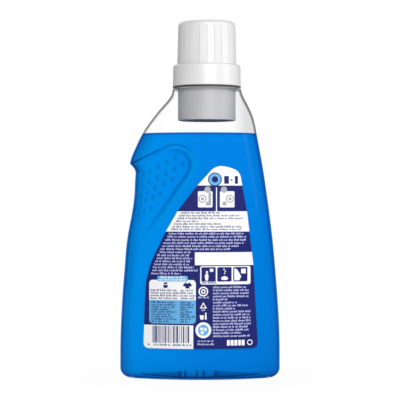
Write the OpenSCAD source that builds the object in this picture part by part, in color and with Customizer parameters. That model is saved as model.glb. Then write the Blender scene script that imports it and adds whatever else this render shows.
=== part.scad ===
// Water softener gel bottle: a clear blown bottle with a grip pinched into its left side,
// filled with gel, with a drain-back pouring insert in its neck and a measuring cap
// that screws down over it. The label faces -Y and the bottle stands on Z = 0.

/* [Body] */
// Width across the foot, left to right
body_w = 117; // [110:1:124]
// Depth at the foot, front to back
body_d = 56.6; // [53:0.2:60]
// Depth at the top of the flat panels
panel_d = 50.4; // [47:0.2:53]
// Radius of the gentle curve across the front and back panels
panel_r = 110; // [98:1:150]
// Height where the panels end and the shoulders begin
panel_top = 165; // [160:1:172]
// Height of the ledge that the neck stands on
ledge_z = 211.6; // [207:0.2:220]
// Radius round the foot
heel_r = 7; // [5:0.5:8.5]
// Width of the flat ring that the bottle stands on
stand_w = 2.5; // [1.5:0.25:3.5]
// Height of the pushed-up base
push_up = 4; // [2.5:0.5:6]
// Run of the slope up to the pushed-up base
push_run = 5; // [3.5:0.5:6]
// Thickness of the blown wall
wall = 0.8; // [0.6:0.1:1.1]

/* [Grip] */
// Height of the grip's tip on the left edge
tip_z = 156; // [150:0.5:159]
// Rise of the ledge over the grip, in degrees
ledge_slope = 25.2; // [22:0.2:30]
// Rise of the grip's lower edge, in degrees
grip_slope = 55.5; // [53:0.5:60]
// Length along the ledge from the tip to where the two edges would cross
grip_run = 86.3; // [80:0.1:90]
// Radius of the corner between the two edges
grip_corner = 15.3; // [13:0.1:17]
// Width of the step from the contour down to the floor of the grip
grip_step = 6; // [4.5:0.5:8]
// Depth of the grip in the front and back panels
grip_face = 3.6; // [2.5:0.1:4.5]
// Depth of the grip in the left edge
grip_side = 4.7; // [4:0.1:6]
// Height where the grip fades out
grip_foot = 84; // [76:1:92]

/* [Gel] */
// Height that the gel is filled to
fill_z = 178.3; // [174.5:0.1:184]
// Gap between the gel and the wall
gel_gap = 0.1; // [0.05:0.05:0.3]

/* [Neck] */
// How far the neck stands to the right of the middle
neck_x = 5; // [2:0.5:8]
// Width of the bore
neck_bore = 42.5; // [40:0.1:43.5]
// Thickness of the neck's wall
neck_wall = 0.95; // [0.8:0.05:1.4]
// Height of the neck above its ledge
neck_h = 14.8; // [13.8:0.2:17]
// Thickness of the ledge
ledge_t = 1.2; // [1:0.1:2]
// How far the ledge stands out past the cap's collar
ledge_lip = 0.35; // [0.2:0.05:1]

/* [Thread] */
// Rise of one turn
thread_pitch = 4.2; // [4:0.1:4.8]
// Height of a ridge over the wall that it stands on
thread_h = 1; // [0.8:0.05:1.15]
// Width of a ridge at its foot
thread_foot_w = 2; // [1.6:0.1:2.3]
// Width of a ridge at its crest
thread_crest_w = 0.8; // [0.5:0.1:1.1]
// Turns of the ridge on the neck
neck_turns = 1.25; // [1:0.05:1.4]
// Turns of the ridge inside the cap
cap_turns = 0.9; // [0.6:0.05:1]
// Height of the ridge's first end above the ledge
thread_start = 5; // [4.8:0.1:5.6]

/* [Pouring insert] */
// Gap between the insert's skirt and the bore
insert_fit = 0.1; // [0.05:0.05:0.2]
// Thickness of the insert's walls
insert_wall = 1.1; // [0.8:0.1:1.5]
// Thickness of the flange that sits on the neck's rim
flange_t = 1.3; // [1:0.1:1.8]
// Height of the skirt's lower edge
skirt_z = 187.8; // [186.5:0.1:191]
// Height of the sloping floor at the middle
floor_z = 197; // [195.5:0.5:200]
// Slope of the floor towards the drain slot, in degrees
floor_slope = 8.5; // [5:0.5:11]
// Thickness of the floor
floor_t = 1.2; // [0.9:0.1:1.6]
// Radius of the spout at its foot
spout_foot_r = 11; // [10:0.25:13]
// Radius of the spout at its lip
spout_lip_r = 9.5; // [8.5:0.25:10]
// Height of the middle of the slanting lip
lip_z = 246; // [238:0.5:248]
// Slant of the lip, in degrees
lip_slope = 22; // [12:1:26]
// Width of the drain slot
slot_w = 3; // [2:0.25:4]

/* [Cap] */
// Height of the collar
collar_h = 15.7; // [15.6:0.1:18]
// Thickness of the collar's wall
collar_wall = 1.3; // [1.1:0.1:1.6]
// Gap between the neck's ridge and the collar's wall
thread_gap = 0.4; // [0.3:0.05:0.6]
// Gap between the insert's flange and the roof of the collar
roof_gap = 0.3; // [0.15:0.05:0.5]
// Draft of the collar, taken off its radius from foot to top
collar_draft = 0.25; // [0:0.05:0.4]
// Radius of the collar's top edge
collar_edge = 1.5; // [1:0.1:1.8]
// Height of the measuring cup above the collar
cup_h = 30.9; // [28:0.1:38]
// Radius of the cup at its foot
cup_foot_r = 21.75; // [20.5:0.05:22.2]
// Draft of the cup, taken off its radius from foot to top
cup_draft = 0.85; // [0.4:0.05:1.5]
// Thickness of the cup's wall
cup_wall = 1.5; // [1.2:0.1:1.9]
// Thickness of the cup's end
cup_end = 1.3; // [1:0.1:2]
// Radius of the edge round the cup's end
cup_edge = 3; // [2:0.25:3.5]
// Number of flats round the cup
flats = 24; // [18:1:30]
// Depth of a flat at its middle
flat_depth = 0.13; // [0.08:0.01:0.2]
// Height of the plain band under the flats
flat_foot = 0.6; // [0.2:0.1:1.5]

/* [Seal ring] */
// Thickness of the dark ring under the collar
seal_t = 1.7; // [1.2:0.1:2.2]
// Gap above and below the ring
seal_gap = 0.05; // [0.03:0.01:0.1]
// Width of the ring, from its bore to its rim
seal_w = 1.6; // [1.2:0.1:1.9]
// How far the ring stands out past the collar
seal_lip = 0.2; // [0:0.05:0.3]

/* [Label] */
// Height of the label's lower edge
label_z = 22.9; // [19:0.1:27]
// Radius of the label's corners
label_corner = 5; // [3:0.5:6]
// Gap between the label and the panel
film_gap = 0.02; // [0.01:0.01:0.05]
// Thickness of the label film
film_t = 0.15; // [0.08:0.01:0.25]
// Thickness of the printed fields
ink_t = 0.08; // [0.05:0.01:0.12]
// Height of the lower navy field
lower_field_h = 84; // [80:1:88]
// Height of the white strip between the navy fields
strip_h = 15; // [12:0.5:17]
// Height of the upper navy field
upper_field_h = 17.8; // [16.8:0.2:20]

/* [Hidden] */

// How far the neck's ledge stays inside the body's edge, and how deep a ridge is sunk into its wall
ledge_inset = 0.16;
ridge_root = 0.3;
// How far the spout starts below the middle of its floor
spout_root = 2.5;

// Neck, seal and cap, worked outwards and upwards from the bore
bore_r = neck_bore / 2;
neck_r = bore_r + neck_wall;
ridge_r = neck_r + thread_h;
collar_bore_r = ridge_r + thread_gap;
collar_r = collar_bore_r + collar_wall;
ledge_r = collar_r + ledge_lip;
loft_top = ledge_z - ledge_t;
rim_z = ledge_z + neck_h;
flange_z = rim_z + flange_t;
seal_z = ledge_z + seal_gap;
seal_r = collar_r + seal_lip;
cap_z = seal_z + seal_t + seal_gap;
collar_top = cap_z + collar_h;
roof_z = flange_z + roof_gap;
cup_top = collar_top + cup_h;
cup_top_r = cup_foot_r - cup_draft;
skirt_r = bore_r - insert_fit;

// Edges of the body: share of the height up to the ledge, and share of the way in to the neck
right_edge = [[0.086, 0], [0.42, 0.143], [0.672, 0.372], [0.839, 0.588], [0.902, 0.69],
    [0.944, 0.821], [0.975, 0.942], [1, 1]];
left_edge = [[0.086, 0], [0.274, 0.039], [0.404, 0.094], [0.523, 0.128], [0.744, 0.188],
    [0.798, 0.293], [0.86, 0.468], [0.923, 0.722], [0.975, 0.96], [1, 1]];

// Steps round half a ring: quarter of the right end, panel, quarter of the left end
end_steps = 5;
panel_steps = 16;
side_steps = 6;
half_steps = end_steps + panel_steps + side_steps;
ring_points = 2 * half_steps;
// Share of the panel that the first, wider steps cover, and how many they are
plain_share = 0.47;
plain_steps = 5;

// Rings up the body: foot to grip, along the grip, up to the gel's surface, up to the ledge
low_rings = 4;
grip_rings = 12;
surface_rings = 5;
shoulder_rings = 8;
// Above 1, the rings along the grip crowd towards its tip
grip_crowding = 1.8;

// Height over the grip's foot where the rings start to rise
rise_start = 16;
// How fast the grip deepens upwards
grip_growth = 1.4;
// Height over the grip's foot at which it has its full depth
grip_full = 52;

// The whole label: from its lower left corner clockwise, each [across, up]
upper_field_z = lower_field_h + strip_h;
upper_field_top = upper_field_z + upper_field_h;
label_top = upper_field_top + 14.3;
label_side = upper_field_top + 10.6;
label_shape = [[-40.9, 0], [-39.7, 34], [-38.8, 48.6], [-35.1, 62.3], [-24.6, lower_field_h],
    [-15.9, upper_field_z], [-2.2, upper_field_top], [11, label_top], [19, label_top],
    [28.6, label_side], [33.8, upper_field_z], [38.5, 60], [41.9, 0]];

// White panels in the lower field, each [left, bottom, right, top, radius of the corners]
text_strip = [-3.8, 60, body_w / 2, 69.3, 0];
tile_frame = [0, 46.1, 36.6, 59.4, 1.2];
table_frame = [-36.6, 18.2, -2.9, 49.3, 2];
table_header = [-30.8, 46.3, -8.9, 52.2, 1];
bars_frame = [-body_w / 2, -label_corner, -4.7, 17.3, 1];
size_plate = [19.4, 2, 32.3, 6.3, 0.6];
// Height where the table's blue part ends
table_split = 34.9;
// Navy tiles in the frame: side of a tile, gap beside it and height under it
tile = 10.1;
tile_gap = 1.2;
tile_foot = 1.8;
// Column of round marks: how far across, heights of the small ones, and the large one at the foot
marks_x = 2.4;
mark_heights = [41.1, 31.4, 23.5];
mark_r = 3.4;
seal_mark_z = 13.3;
seal_mark_r = 5.6;
seal_ring_r = 5.3;
seal_ring_w = 1.4;
// Two panels in the upper field, and the divider between them
upper_panel_x = [-1.6, 14.7];
upper_panel_w = 10.6;
upper_panel_h = 13.6;
upper_panel_foot = 1.8;
divider_x = 11.5;
divider_w = 0.6;
// Angle that the front panel leans back by, and the radius that fits it along the lean
panel_lean = atan2((body_d - panel_d) / 2, panel_top - heel_r);
lean_r = panel_r * cos(panel_lean);

// Curves of turned parts and of ridges
$fn = 96;
ridge_steps = 30;
eps = 0.01;

function lerp(a, b, t) = a + (b - a) * t;
function clamp(t) = max(0, min(1, t));
function smooth(t) = let (u = clamp(t)) u * u * (3 - 2 * u);

// Smooth curve through stations [place, value], level at both ends
function slope_at(s, i) =
    (i == 0 || i == len(s) - 1) ? 0 : (s[i + 1][1] - s[i - 1][1]) / (s[i + 1][0] - s[i - 1][0]);
function span_of(s, u, i = 0) = (i == len(s) - 2 || u <= s[i + 1][0]) ? i : span_of(s, u, i + 1);
function curve_at(s, place) =
    let (
        u = max(s[0][0], min(s[len(s) - 1][0], place)),
        i = span_of(s, u),
        w = s[i + 1][0] - s[i][0],
        t = (u - s[i][0]) / w
    )
    lerp(s[i][1], s[i + 1][1], t * t * (3 - 2 * t))
        + w * t * (1 - t) * (slope_at(s, i) * (1 - t) - slope_at(s, i + 1) * t);

// Outline of the body at one height
function right_x(z) = lerp(body_w / 2, neck_x + ledge_r, curve_at(right_edge, z / loft_top));
function left_x(z) = lerp(-body_w / 2, neck_x - ledge_r, curve_at(left_edge, z / loft_top));
function shoulder_share(z) = clamp((z - panel_top) / (loft_top - panel_top));
function middle_x(z) = neck_x * smooth(shoulder_share(z));
function half_depth(z) =
    z < panel_top ? lerp(body_d, panel_d, clamp((z - heel_r) / (panel_top - heel_r))) / 2
        : lerp(panel_d / 2, ledge_r, smooth(shoulder_share(z)));
function face_r(z) = lerp(panel_r, ledge_r + 0.05, shoulder_share(z));

// Radius of the end arc that runs smoothly into two panel arcs of radius r
function end_r(r, depth, reach) =
    (r * r - reach * reach - (r - depth) * (r - depth)) / (2 * (r - reach));
function panel_share(k) =
    k <= plain_steps ? plain_share * k / plain_steps
        : lerp(plain_share, 1, (k - plain_steps) / (panel_steps - plain_steps));

// Point i of the outline at height z, for the back half: [x, y, direction it faces]
function back_point(z, i) =
    let (
        r = face_r(z),
        depth = half_depth(z),
        middle = middle_x(z),
        right = right_x(z) - middle,
        left = middle - left_x(z),
        right_r = end_r(r, depth, right),
        left_r = end_r(r, depth, left),
        right_turn = atan2(r - depth, right - right_r),
        left_turn = atan2(r - depth, left - left_r),
        panel_turn = 180 - left_turn - right_turn,
        on_panel = i - end_steps,
        on_side = on_panel - panel_steps
    )
    i < end_steps
        ? let (a = right_turn * i / end_steps)
            [middle + right - right_r + right_r * cos(a), right_r * sin(a), a]
        : on_panel <= panel_steps
            ? let (a = right_turn + panel_turn * panel_share(on_panel))
                [middle + r * cos(a), r * sin(a) - (r - depth), a]
            : let (a = 180 - left_turn * (1 - on_side / side_steps))
                [middle - left + left_r + left_r * cos(a), left_r * sin(a), a];
function outline_point(z, i) =
    i <= half_steps ? back_point(z, i)
        : let (p = back_point(z, ring_points - i)) [p[0], -p[1], -p[2]];

// The grip's contour: its ledge, its lower edge, and the round corner that joins them
tip_x = left_x(tip_z);
ledge_way = [cos(ledge_slope), sin(ledge_slope)];
edge_way = [cos(grip_slope), sin(grip_slope)];
crossing = [tip_x, tip_z] + grip_run * ledge_way;
corner_half = (grip_slope - ledge_slope) / 2;
corner_mid = ledge_slope + corner_half;
corner_at = crossing - grip_corner / sin(corner_half) * [cos(corner_mid), sin(corner_mid)];
function below_ledge(x, z) = (x - tip_x) * ledge_way[1] - (z - tip_z) * ledge_way[0];
function beyond_edge(x, z) = (crossing[0] - x) * edge_way[1] - (crossing[1] - z) * edge_way[0];
function inside_contour(x, z) =
    let (v = [x, z] - corner_at)
    (v * ledge_way > 0 && v * edge_way > 0) ? grip_corner - norm(v)
        : min(below_ledge(x, z), beyond_edge(x, z));

// Share of the grip's depth: a crisp step under the ledge, a soft one at the lower edge
function grip_share(x, z) =
    let (
        p = below_ledge(x, z),
        q = beyond_edge(x, z),
        inside = clamp(inside_contour(x, z) / grip_step),
        crisp = inside * (2 - inside),
        soft = smooth(inside)
    )
    (p <= 0 || q <= 0) ? 0
        : lerp(soft, crisp, q / (p + q)) * pow(smooth((z - grip_foot) / grip_full), grip_growth);

// How far a ring rises to the right: as the ledge does up to the knee, then less, to the corner's top
rise_knee = (grip_run - grip_corner / tan(corner_half)) * sin(ledge_slope);
rise_top = corner_at[1] + grip_corner - tip_z;
rise_end = 2 * rise_top - rise_knee;
function ledge_rise(x) =
    let (rise = max(0, (x - tip_x) * tan(ledge_slope)))
    rise < rise_knee ? rise
        : rise < rise_end ? rise_top - pow(rise_end - rise, 2) / (4 * (rise_top - rise_knee))
            : rise_top;
function rise_share(h) =
    h < tip_z ? clamp((h - grip_foot - rise_start) / (tip_z - grip_foot - rise_start))
        : clamp((fill_z - h) / (fill_z - tip_z));

// Point i of the ring at height h, pulled in by the thickness of a skin
function body_point(h, i, skin) =
    let (
        level = outline_point(h, i),
        z = h + rise_share(h) * ledge_rise(level[0]),
        p = outline_point(z, i),
        facing = [cos(p[2]), sin(p[2])],
        dent = grip_share(p[0], z) * lerp(grip_face, grip_side, facing[0] * facing[0]),
        inward = dent + skin
    )
    [p[0] - facing[0] * inward, p[1] - facing[1] * inward, z];

// The foot, from the pushed-up base round the heel: [inset, height, outward share, downward share]
foot_stations = [
    [heel_r + stand_w + push_run, push_up, 0, 1],
    [heel_r + stand_w, 0, 0, 1],
    [heel_r, 0, 0, 1],
    [heel_r * (1 - cos(60)), heel_r * (1 - sin(60)), cos(60), sin(60)],
    [heel_r * (1 - cos(30)), heel_r * (1 - sin(30)), cos(30), sin(30)]
];
function foot_point(s, i, skin) =
    let (p = outline_point(heel_r, i), inward = s[0] + skin * s[2])
    [p[0] - cos(p[2]) * inward, p[1] - sin(p[2]) * inward, s[1] + skin * s[3]];

wet_heights = [
    for (k = [0 : low_rings - 1]) lerp(heel_r, grip_foot, k / low_rings),
    for (k = [0 : grip_rings - 1]) lerp(tip_z, grip_foot, pow(1 - k / grip_rings, grip_crowding)),
    for (k = [0 : surface_rings]) lerp(tip_z, fill_z, k / surface_rings)
];
dry_heights = [for (k = [1 : shoulder_rings]) lerp(fill_z, loft_top, k / shoulder_rings)];

// All rings of a skin, from the middle of the base up
function skin_rings(heights, skin) = [
    for (s = foot_stations) [for (i = [0 : ring_points - 1]) foot_point(s, i, skin)],
    for (h = heights) [for (i = [0 : ring_points - 1]) body_point(h, i, skin)]
];

// Closed solid through rings of points, which turn left seen from the last ring. From the fold on,
// the rings come back down inside. The diagonals rise to the right on both halves and both skins.
module loft(rings, fold = undef) {
    n = len(rings[0]);
    last = len(rings) - 1;
    turn = is_undef(fold) ? last : fold;
    polyhedron(
        points = [for (ring = rings) each ring],
        faces = [
            [for (i = [0 : n - 1]) i],
            for (k = [0 : last - 1], i = [0 : n - 1], first = [true, false])
                let (
                    a = k * n + i,
                    b = k * n + (i + 1) % n,
                    crossed = (k < turn) == (i < n / 2)
                )
                crossed ? (first ? [a, a + n, b] : [b, a + n, b + n])
                    : (first ? [a, a + n, b + n] : [a, b + n, b]),
            [for (i = [n - 1 : -1 : 0]) last * n + i]
        ]
    );
}

// Ridge that climbs round the Z axis, from one radius at its foot to another at its crest
module ridge(foot, crest, start_z, start_angle, turns) {
    inner_w = foot < crest ? thread_foot_w : thread_crest_w;
    outer_w = foot < crest ? thread_crest_w : thread_foot_w;
    inner_r = min(foot, crest);
    outer_r = max(foot, crest);
    profile = [[inner_r, -inner_w / 2], [inner_r, inner_w / 2],
        [outer_r, outer_w / 2], [outer_r, -outer_w / 2]];
    steps = ceil(turns * ridge_steps);
    loft([
        for (k = [0 : steps])
            let (turn = turns * k / steps, a = start_angle + 360 * turn)
            [for (p = profile) [p[0] * cos(a), p[0] * sin(a), start_z + thread_pitch * turn + p[1]]]
    ]);
}

module bottle() {
    color([0.9, 0.95, 0.98, 0.35]) {
        heights = concat(wet_heights, dry_heights);
        outer = skin_rings(heights, 0);
        inner = skin_rings(heights, wall);
        loft([each outer, for (k = [len(inner) - 1 : -1 : 0]) inner[k]], len(outer));
        translate([neck_x, 0, 0]) {
            rotate_extrude()
                neck_profile();
            ridge(neck_r - ridge_root, ridge_r, ledge_z + thread_start, 0, neck_turns);
        }
    }
}

module neck_profile() {
    foot_z = loft_top - wall;
    ledge_rim = ledge_r - ledge_inset;
    polygon([[bore_r, foot_z], [ledge_rim, foot_z], [ledge_rim, ledge_z], [neck_r, ledge_z],
        [neck_r, rim_z], [bore_r, rim_z]]);
}

module gel() {
    color([0, 0.52, 0.89])
        loft(skin_rings(wet_heights, wall + gel_gap));
}

module pour_insert() {
    spout_foot_z = floor_z - spout_root;
    spout_h = rim_z + cup_h - spout_foot_z;
    spout_taper = (spout_foot_r - spout_lip_r) / (lip_z - floor_z);
    spout_end_r = spout_foot_r - spout_taper * spout_h;
    spout_bore_r = spout_foot_r - insert_wall;
    slot_foot_z = floor_z - spout_foot_r * tan(floor_slope) + floor_t / 2;
    color([0.72, 0.72, 0.74])
        translate([neck_x, 0, 0])
            difference() {
                union() {
                    rotate_extrude()
                        insert_profile();
                    intersection() {
                        translate([0, 0, floor_z])
                            rotate([0, -floor_slope, 0])
                                cube([4 * bore_r, 4 * bore_r, floor_t], center = true);
                        translate([0, 0, skirt_z])
                            cylinder(r = skirt_r - insert_wall / 2, h = rim_z - skirt_z);
                    }
                    translate([0, 0, spout_foot_z])
                        cylinder(r1 = spout_foot_r, r2 = spout_end_r, h = spout_h);
                }
                // Bore of the spout
                translate([0, 0, spout_foot_z - eps])
                    cylinder(r1 = spout_bore_r, r2 = spout_end_r - insert_wall, h = spout_h + 2 * eps);
                // Slanting lip
                translate([0, 0, lip_z])
                    rotate([0, -lip_slope, 0])
                        translate([-2 * bore_r, -2 * bore_r, 0])
                            cube(4 * bore_r);
                // Slot that lets the spilled gel run back
                translate([-spout_foot_r - 1, -slot_w / 2, slot_foot_z])
                    cube([spout_foot_r, slot_w, spout_h]);
            }
}

module insert_profile() {
    chamfer = insert_wall / 3;
    inner_r = skirt_r - insert_wall;
    polygon([[inner_r, skirt_z], [skirt_r - chamfer, skirt_z], [skirt_r, skirt_z + chamfer], [skirt_r, rim_z],
        [neck_r, rim_z], [neck_r, flange_z], [inner_r, flange_z]]);
}

module cap_seal() {
    color([0.13, 0.13, 0.14])
        translate([neck_x, 0, seal_z])
            rotate_extrude()
                translate([seal_r - seal_w, 0])
                    square([seal_w, seal_t]);
}

module cap() {
    color([0.96, 0.96, 0.96])
        translate([neck_x, 0, 0]) {
            difference() {
                rotate_extrude()
                    cap_profile();
                cup_flats();
            }
            ridge(collar_bore_r + ridge_root, collar_bore_r - thread_h,
                ledge_z + thread_start - thread_pitch / 2, 0, cap_turns);
        }
}

// Half section of the cap: the collar with its bore, and the cup standing on it
module cap_profile() {
    cup_roof = cup_top - cup_end;
    bore_edge = cup_edge - cup_wall / 2;
    difference() {
        union() {
            tapered_side(collar_r, collar_r - collar_draft, cap_z, collar_top, collar_edge);
            tapered_side(cup_foot_r, cup_top_r, collar_top - collar_edge, cup_top, cup_edge);
        }
        translate([-eps, cap_z - eps])
            square([collar_bore_r + eps, roof_z - cap_z + eps]);
        tapered_side(cup_foot_r - cup_wall, cup_top_r - cup_wall, roof_z - eps, cup_roof, bore_edge);
    }
}

// Half section of a turned part that narrows upwards and has a round top edge
module tapered_side(foot, top, z0, z1, edge) {
    draft = atan2(foot - top, z1 - z0);
    centre = [top - edge / cos(draft) + edge * tan(draft), z1 - edge];
    reach = 2 * edge;
    along_side = reach * [cos(draft), sin(draft)];
    difference() {
        polygon([[0, z0], [foot, z0], [top, z1], [0, z1]]);
        difference() {
            polygon([centre, centre + along_side, centre + [reach, reach], centre + [0, reach]]);
            translate(centre)
                circle(edge);
        }
    }
}

// Cutters for the flats round the cup, which lean in with its draft
module cup_flats() {
    draft = atan2(cup_draft, cup_h);
    size = 2 * cup_h;
    for (k = [0 : flats - 1])
        rotate([0, 0, 360 * (k + 0.5) / flats])
            translate([cup_foot_r - flat_depth, 0, collar_top + flat_foot])
                rotate([0, -draft, 0])
                    translate([0, -size / 2, 0])
                        cube(size);
}

// Skin that follows the front panel, from one height over it up to another
module panel_skin(gap, thickness) {
    intersection() {
        translate([0, panel_r - body_d / 2, heel_r])
            rotate([-panel_lean, 0, 0])
                difference() {
                    cylinder(r = lean_r + gap + thickness, h = panel_top, $fn = 360);
                    translate([0, 0, -eps])
                        cylinder(r = lean_r + gap, h = panel_top + 2 * eps, $fn = 360);
                }
        translate([0, 0, label_z])
            rotate([90, 0, 0])
                linear_extrude(body_d)
                    children();
    }
}

module label_outline() {
    offset(r = label_corner, $fn = 32)
        offset(delta = -label_corner)
            polygon(label_shape);
}

// Rectangle with round corners, shrunk by an inset on every side
module panel(frame, inset = 0) {
    corner = max(0, frame[4] - inset);
    low = [frame[0] + inset + corner, frame[1] + inset + corner];
    high = [frame[2] - inset - corner, frame[3] - inset - corner];
    translate(low)
        offset(r = corner, $fn = 16)
            square(high - low);
}

module label_film() {
    color([0.97, 0.97, 0.98])
        panel_skin(film_gap, film_t)
            label_outline();
}

module label_navy() {
    color([0.15, 0.17, 0.46])
        panel_skin(film_gap + film_t + eps, ink_t)
            difference() {
                intersection() {
                    label_outline();
                    union() {
                        translate([-body_w / 2, 0])
                            square([body_w, lower_field_h]);
                        translate([-body_w / 2, upper_field_z])
                            square([body_w, upper_field_h]);
                    }
                }
                lower_field_blanks();
                upper_field_blanks();
            }
}

// Places in the lower navy field that stay white or take another colour
module lower_field_blanks() {
    panel(text_strip);
    difference() {
        panel(tile_frame);
        for (k = [0 : 2])
            translate([tile_frame[0] + tile_gap + k * (tile + tile_gap), tile_frame[1] + tile_foot])
                square(tile);
    }
    panel(table_frame);
    panel(table_header);
    intersection() {
        label_outline();
        panel(bars_frame);
    }
    panel(size_plate);
    for (z = mark_heights)
        translate([marks_x, z])
            circle(mark_r, $fn = 32);
    translate([marks_x, seal_mark_z])
        circle(seal_mark_r, $fn = 32);
}

// Two white panels with a divider between them in the upper navy field
module upper_field_blanks() {
    low_z = upper_field_z + upper_panel_foot;
    for (x = upper_panel_x)
        panel([x, low_z, x + upper_panel_w, low_z + upper_panel_h, 1]);
    translate([divider_x, upper_field_z])
        square([divider_w, upper_field_h]);
}

module label_sky() {
    inset = 0.3;
    table_foot = [table_frame[0], table_frame[1], table_frame[2], table_split + inset, table_frame[4]];
    header_top = [table_header[0], table_frame[3] - inset, table_header[2], table_header[3], table_header[4]];
    color([0.45, 0.76, 0.92])
        panel_skin(film_gap + film_t + eps, ink_t) {
            panel(table_foot, inset);
            panel(header_top, inset);
            translate([marks_x, seal_mark_z])
                difference() {
                    circle(seal_ring_r, $fn = 32);
                    circle(seal_ring_r - seal_ring_w, $fn = 32);
                }
        }
}

bottle();
gel();
pour_insert();
cap_seal();
cap();
label_film();
label_navy();
label_sky();
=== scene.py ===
# %% [markdown]
# # Dressing a bottle of blue gel
#
# The bottle arrives as a imported model: plain solids of the right size, in metres. This lesson gives
# them their looks. The clear wall, the gel behind it and the printed label are modelled again with
# more detail, around the same sizes, and every surface gets a material made from nodes.
#
# First the model is loaded. The boxes of its parts are read further on, for their sizes. Nothing may
# grow past it.

# %% Load the model
import math
import random

import bmesh
import bpy
from mathutils import Matrix, Vector


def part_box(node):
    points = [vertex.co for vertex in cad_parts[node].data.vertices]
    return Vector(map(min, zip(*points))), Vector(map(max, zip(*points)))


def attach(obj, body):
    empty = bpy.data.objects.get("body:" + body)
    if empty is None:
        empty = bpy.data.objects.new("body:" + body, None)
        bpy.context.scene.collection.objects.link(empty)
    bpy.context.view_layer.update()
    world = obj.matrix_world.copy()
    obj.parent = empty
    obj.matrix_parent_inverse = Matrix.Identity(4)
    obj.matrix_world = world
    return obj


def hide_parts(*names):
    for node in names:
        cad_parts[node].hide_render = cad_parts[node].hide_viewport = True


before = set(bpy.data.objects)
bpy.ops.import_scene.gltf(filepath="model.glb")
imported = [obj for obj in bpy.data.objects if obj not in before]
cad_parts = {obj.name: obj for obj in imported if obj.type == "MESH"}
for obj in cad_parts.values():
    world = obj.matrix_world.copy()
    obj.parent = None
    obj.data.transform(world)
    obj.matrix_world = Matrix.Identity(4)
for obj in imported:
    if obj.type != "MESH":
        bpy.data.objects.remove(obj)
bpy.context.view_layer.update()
MM = 0.001

# %% [markdown]
# ## Camera, floor and light
#
# The photograph was taken from far away at the height of the bottle's middle, so the camera has a
# long lens and looks straight ahead. The background is white. It could be made white by flooding it
# with light, but then the white cap would burn out, so the floor and the world are white only to
# what the camera and the reflections see, and the lamps stay soft.

# %% Camera
CAMERA_DISTANCE = 1.131
CAMERA_HEIGHT = 0.1296
LENS = 138.6
SENSOR = 36.0
camera_data = bpy.data.cameras.new("camera")
camera_data.lens = LENS
camera_data.sensor_width = SENSOR
camera = bpy.data.objects.new("camera", camera_data)
camera.location = (0, -CAMERA_DISTANCE, CAMERA_HEIGHT)
camera.rotation_euler = (math.radians(90), 0, 0)
scene = bpy.context.scene
scene.collection.objects.link(camera)
scene.camera = camera
scene.view_settings.view_transform = "Standard"
print("one pixel is", round(CAMERA_DISTANCE * SENSOR / LENS / 400 / MM, 4), "mm wide")

# %% [markdown]
# Every material below is a tree of nodes, and the same few moves come back in each tree: a value is
# mapped from one range to another, a ramp turns it into a colour, two colours are blended, two
# shaders are mixed. Each move gets a short function here, so that a material later reads as a list
# of what it does. All patterns lie on the object's own coordinates and move with it.

# %% Nodes
def new_material(name):
    """A material with an empty node tree that holds only its output, and that tree."""
    material = bpy.data.materials.new(name)
    material.use_nodes = True
    tree = material.node_tree
    tree.nodes.clear()
    tree.nodes.new("ShaderNodeOutputMaterial")
    return material, tree


def plug(tree, value, socket):
    """Sets a socket to a plain value, or links it to another node's output."""
    if isinstance(value, bpy.types.NodeSocket):
        tree.links.new(value, socket)
    else:
        socket.default_value = value


def node(tree, kind, **values):
    """A node of that kind, its sockets plugged by name and its other settings set by attribute."""
    made = tree.nodes.new("ShaderNode" + kind)
    for name, value in values.items():
        socket = made.inputs.get(name.replace("_", " "))
        if socket is None:
            setattr(made, name, value)
        else:
            plug(tree, value, socket)
    return made


def surface(tree, shader):
    tree.links.new(shader.outputs[0], tree.nodes["Material Output"].inputs["Surface"])


def calculated(tree, operation, first, second):
    """Two values put together by a maths operation."""
    made = node(tree, "Math", operation=operation)
    plug(tree, first, made.inputs[0])
    plug(tree, second, made.inputs[1])
    return made.outputs[0]


def mapped(tree, source, low, high, to_low=0.0, to_high=1.0):
    """A value mapped from one range to another, and held there outside it."""
    return node(tree, "MapRange", Value=source, From_Min=low, From_Max=high,
                To_Min=to_low, To_Max=to_high).outputs[0]


def ramp(tree, stops, source):
    """A colour ramp with these stops, driven by a socket."""
    made = node(tree, "ValToRGB", Fac=source)
    elements = made.color_ramp.elements
    elements[0].position, elements[0].color = stops[0]
    elements[1].position, elements[1].color = stops[-1]
    for position, colour in stops[1:-1]:
        elements.new(position).color = colour
    return made.outputs["Color"]


def blended(tree, factor, first, second, how="MIX"):
    """Two colours blended."""
    made = node(tree, "Mix", data_type="RGBA", blend_type=how)
    for index, value in ((0, factor), (6, first), (7, second)):
        plug(tree, value, made.inputs[index])
    return made.outputs[2]


def mixed(tree, share, first, second):
    """Two shaders mixed, with that share of the second."""
    made = node(tree, "MixShader", Fac=share)
    tree.links.new(first.outputs[0], made.inputs[1])
    tree.links.new(second.outputs[0], made.inputs[2])
    return made


def noise(tree, scale, detail):
    """Noise that is fixed to the object."""
    place = node(tree, "TexCoord").outputs["Object"]
    return node(tree, "TexNoise", Vector=place, Scale=scale, Detail=detail).outputs["Fac"]


def grain(tree, scale, detail, strength, depth):
    """A normal that a fine noise makes uneven."""
    bump = node(tree, "Bump", Height=noise(tree, scale, detail), Strength=strength, Distance=depth)
    return bump.outputs["Normal"]


def object_axes(tree):
    """The object's own coordinates, split into X, Y and Z."""
    place = node(tree, "TexCoord").outputs["Object"]
    return node(tree, "SeparateXYZ", Vector=place).outputs


def linear(red, green, blue):
    """A colour as read off a screen, 0 to 255, as the light values that shaders use."""
    def channel(value):
        share = value / 255
        return share / 12.92 if share <= 0.04045 else ((share + 0.055) / 1.055) ** 2.4
    return (channel(red), channel(green), channel(blue), 1.0)


def grey(value):
    return (value, value, value, 1)


WHITE = grey(1)


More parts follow.
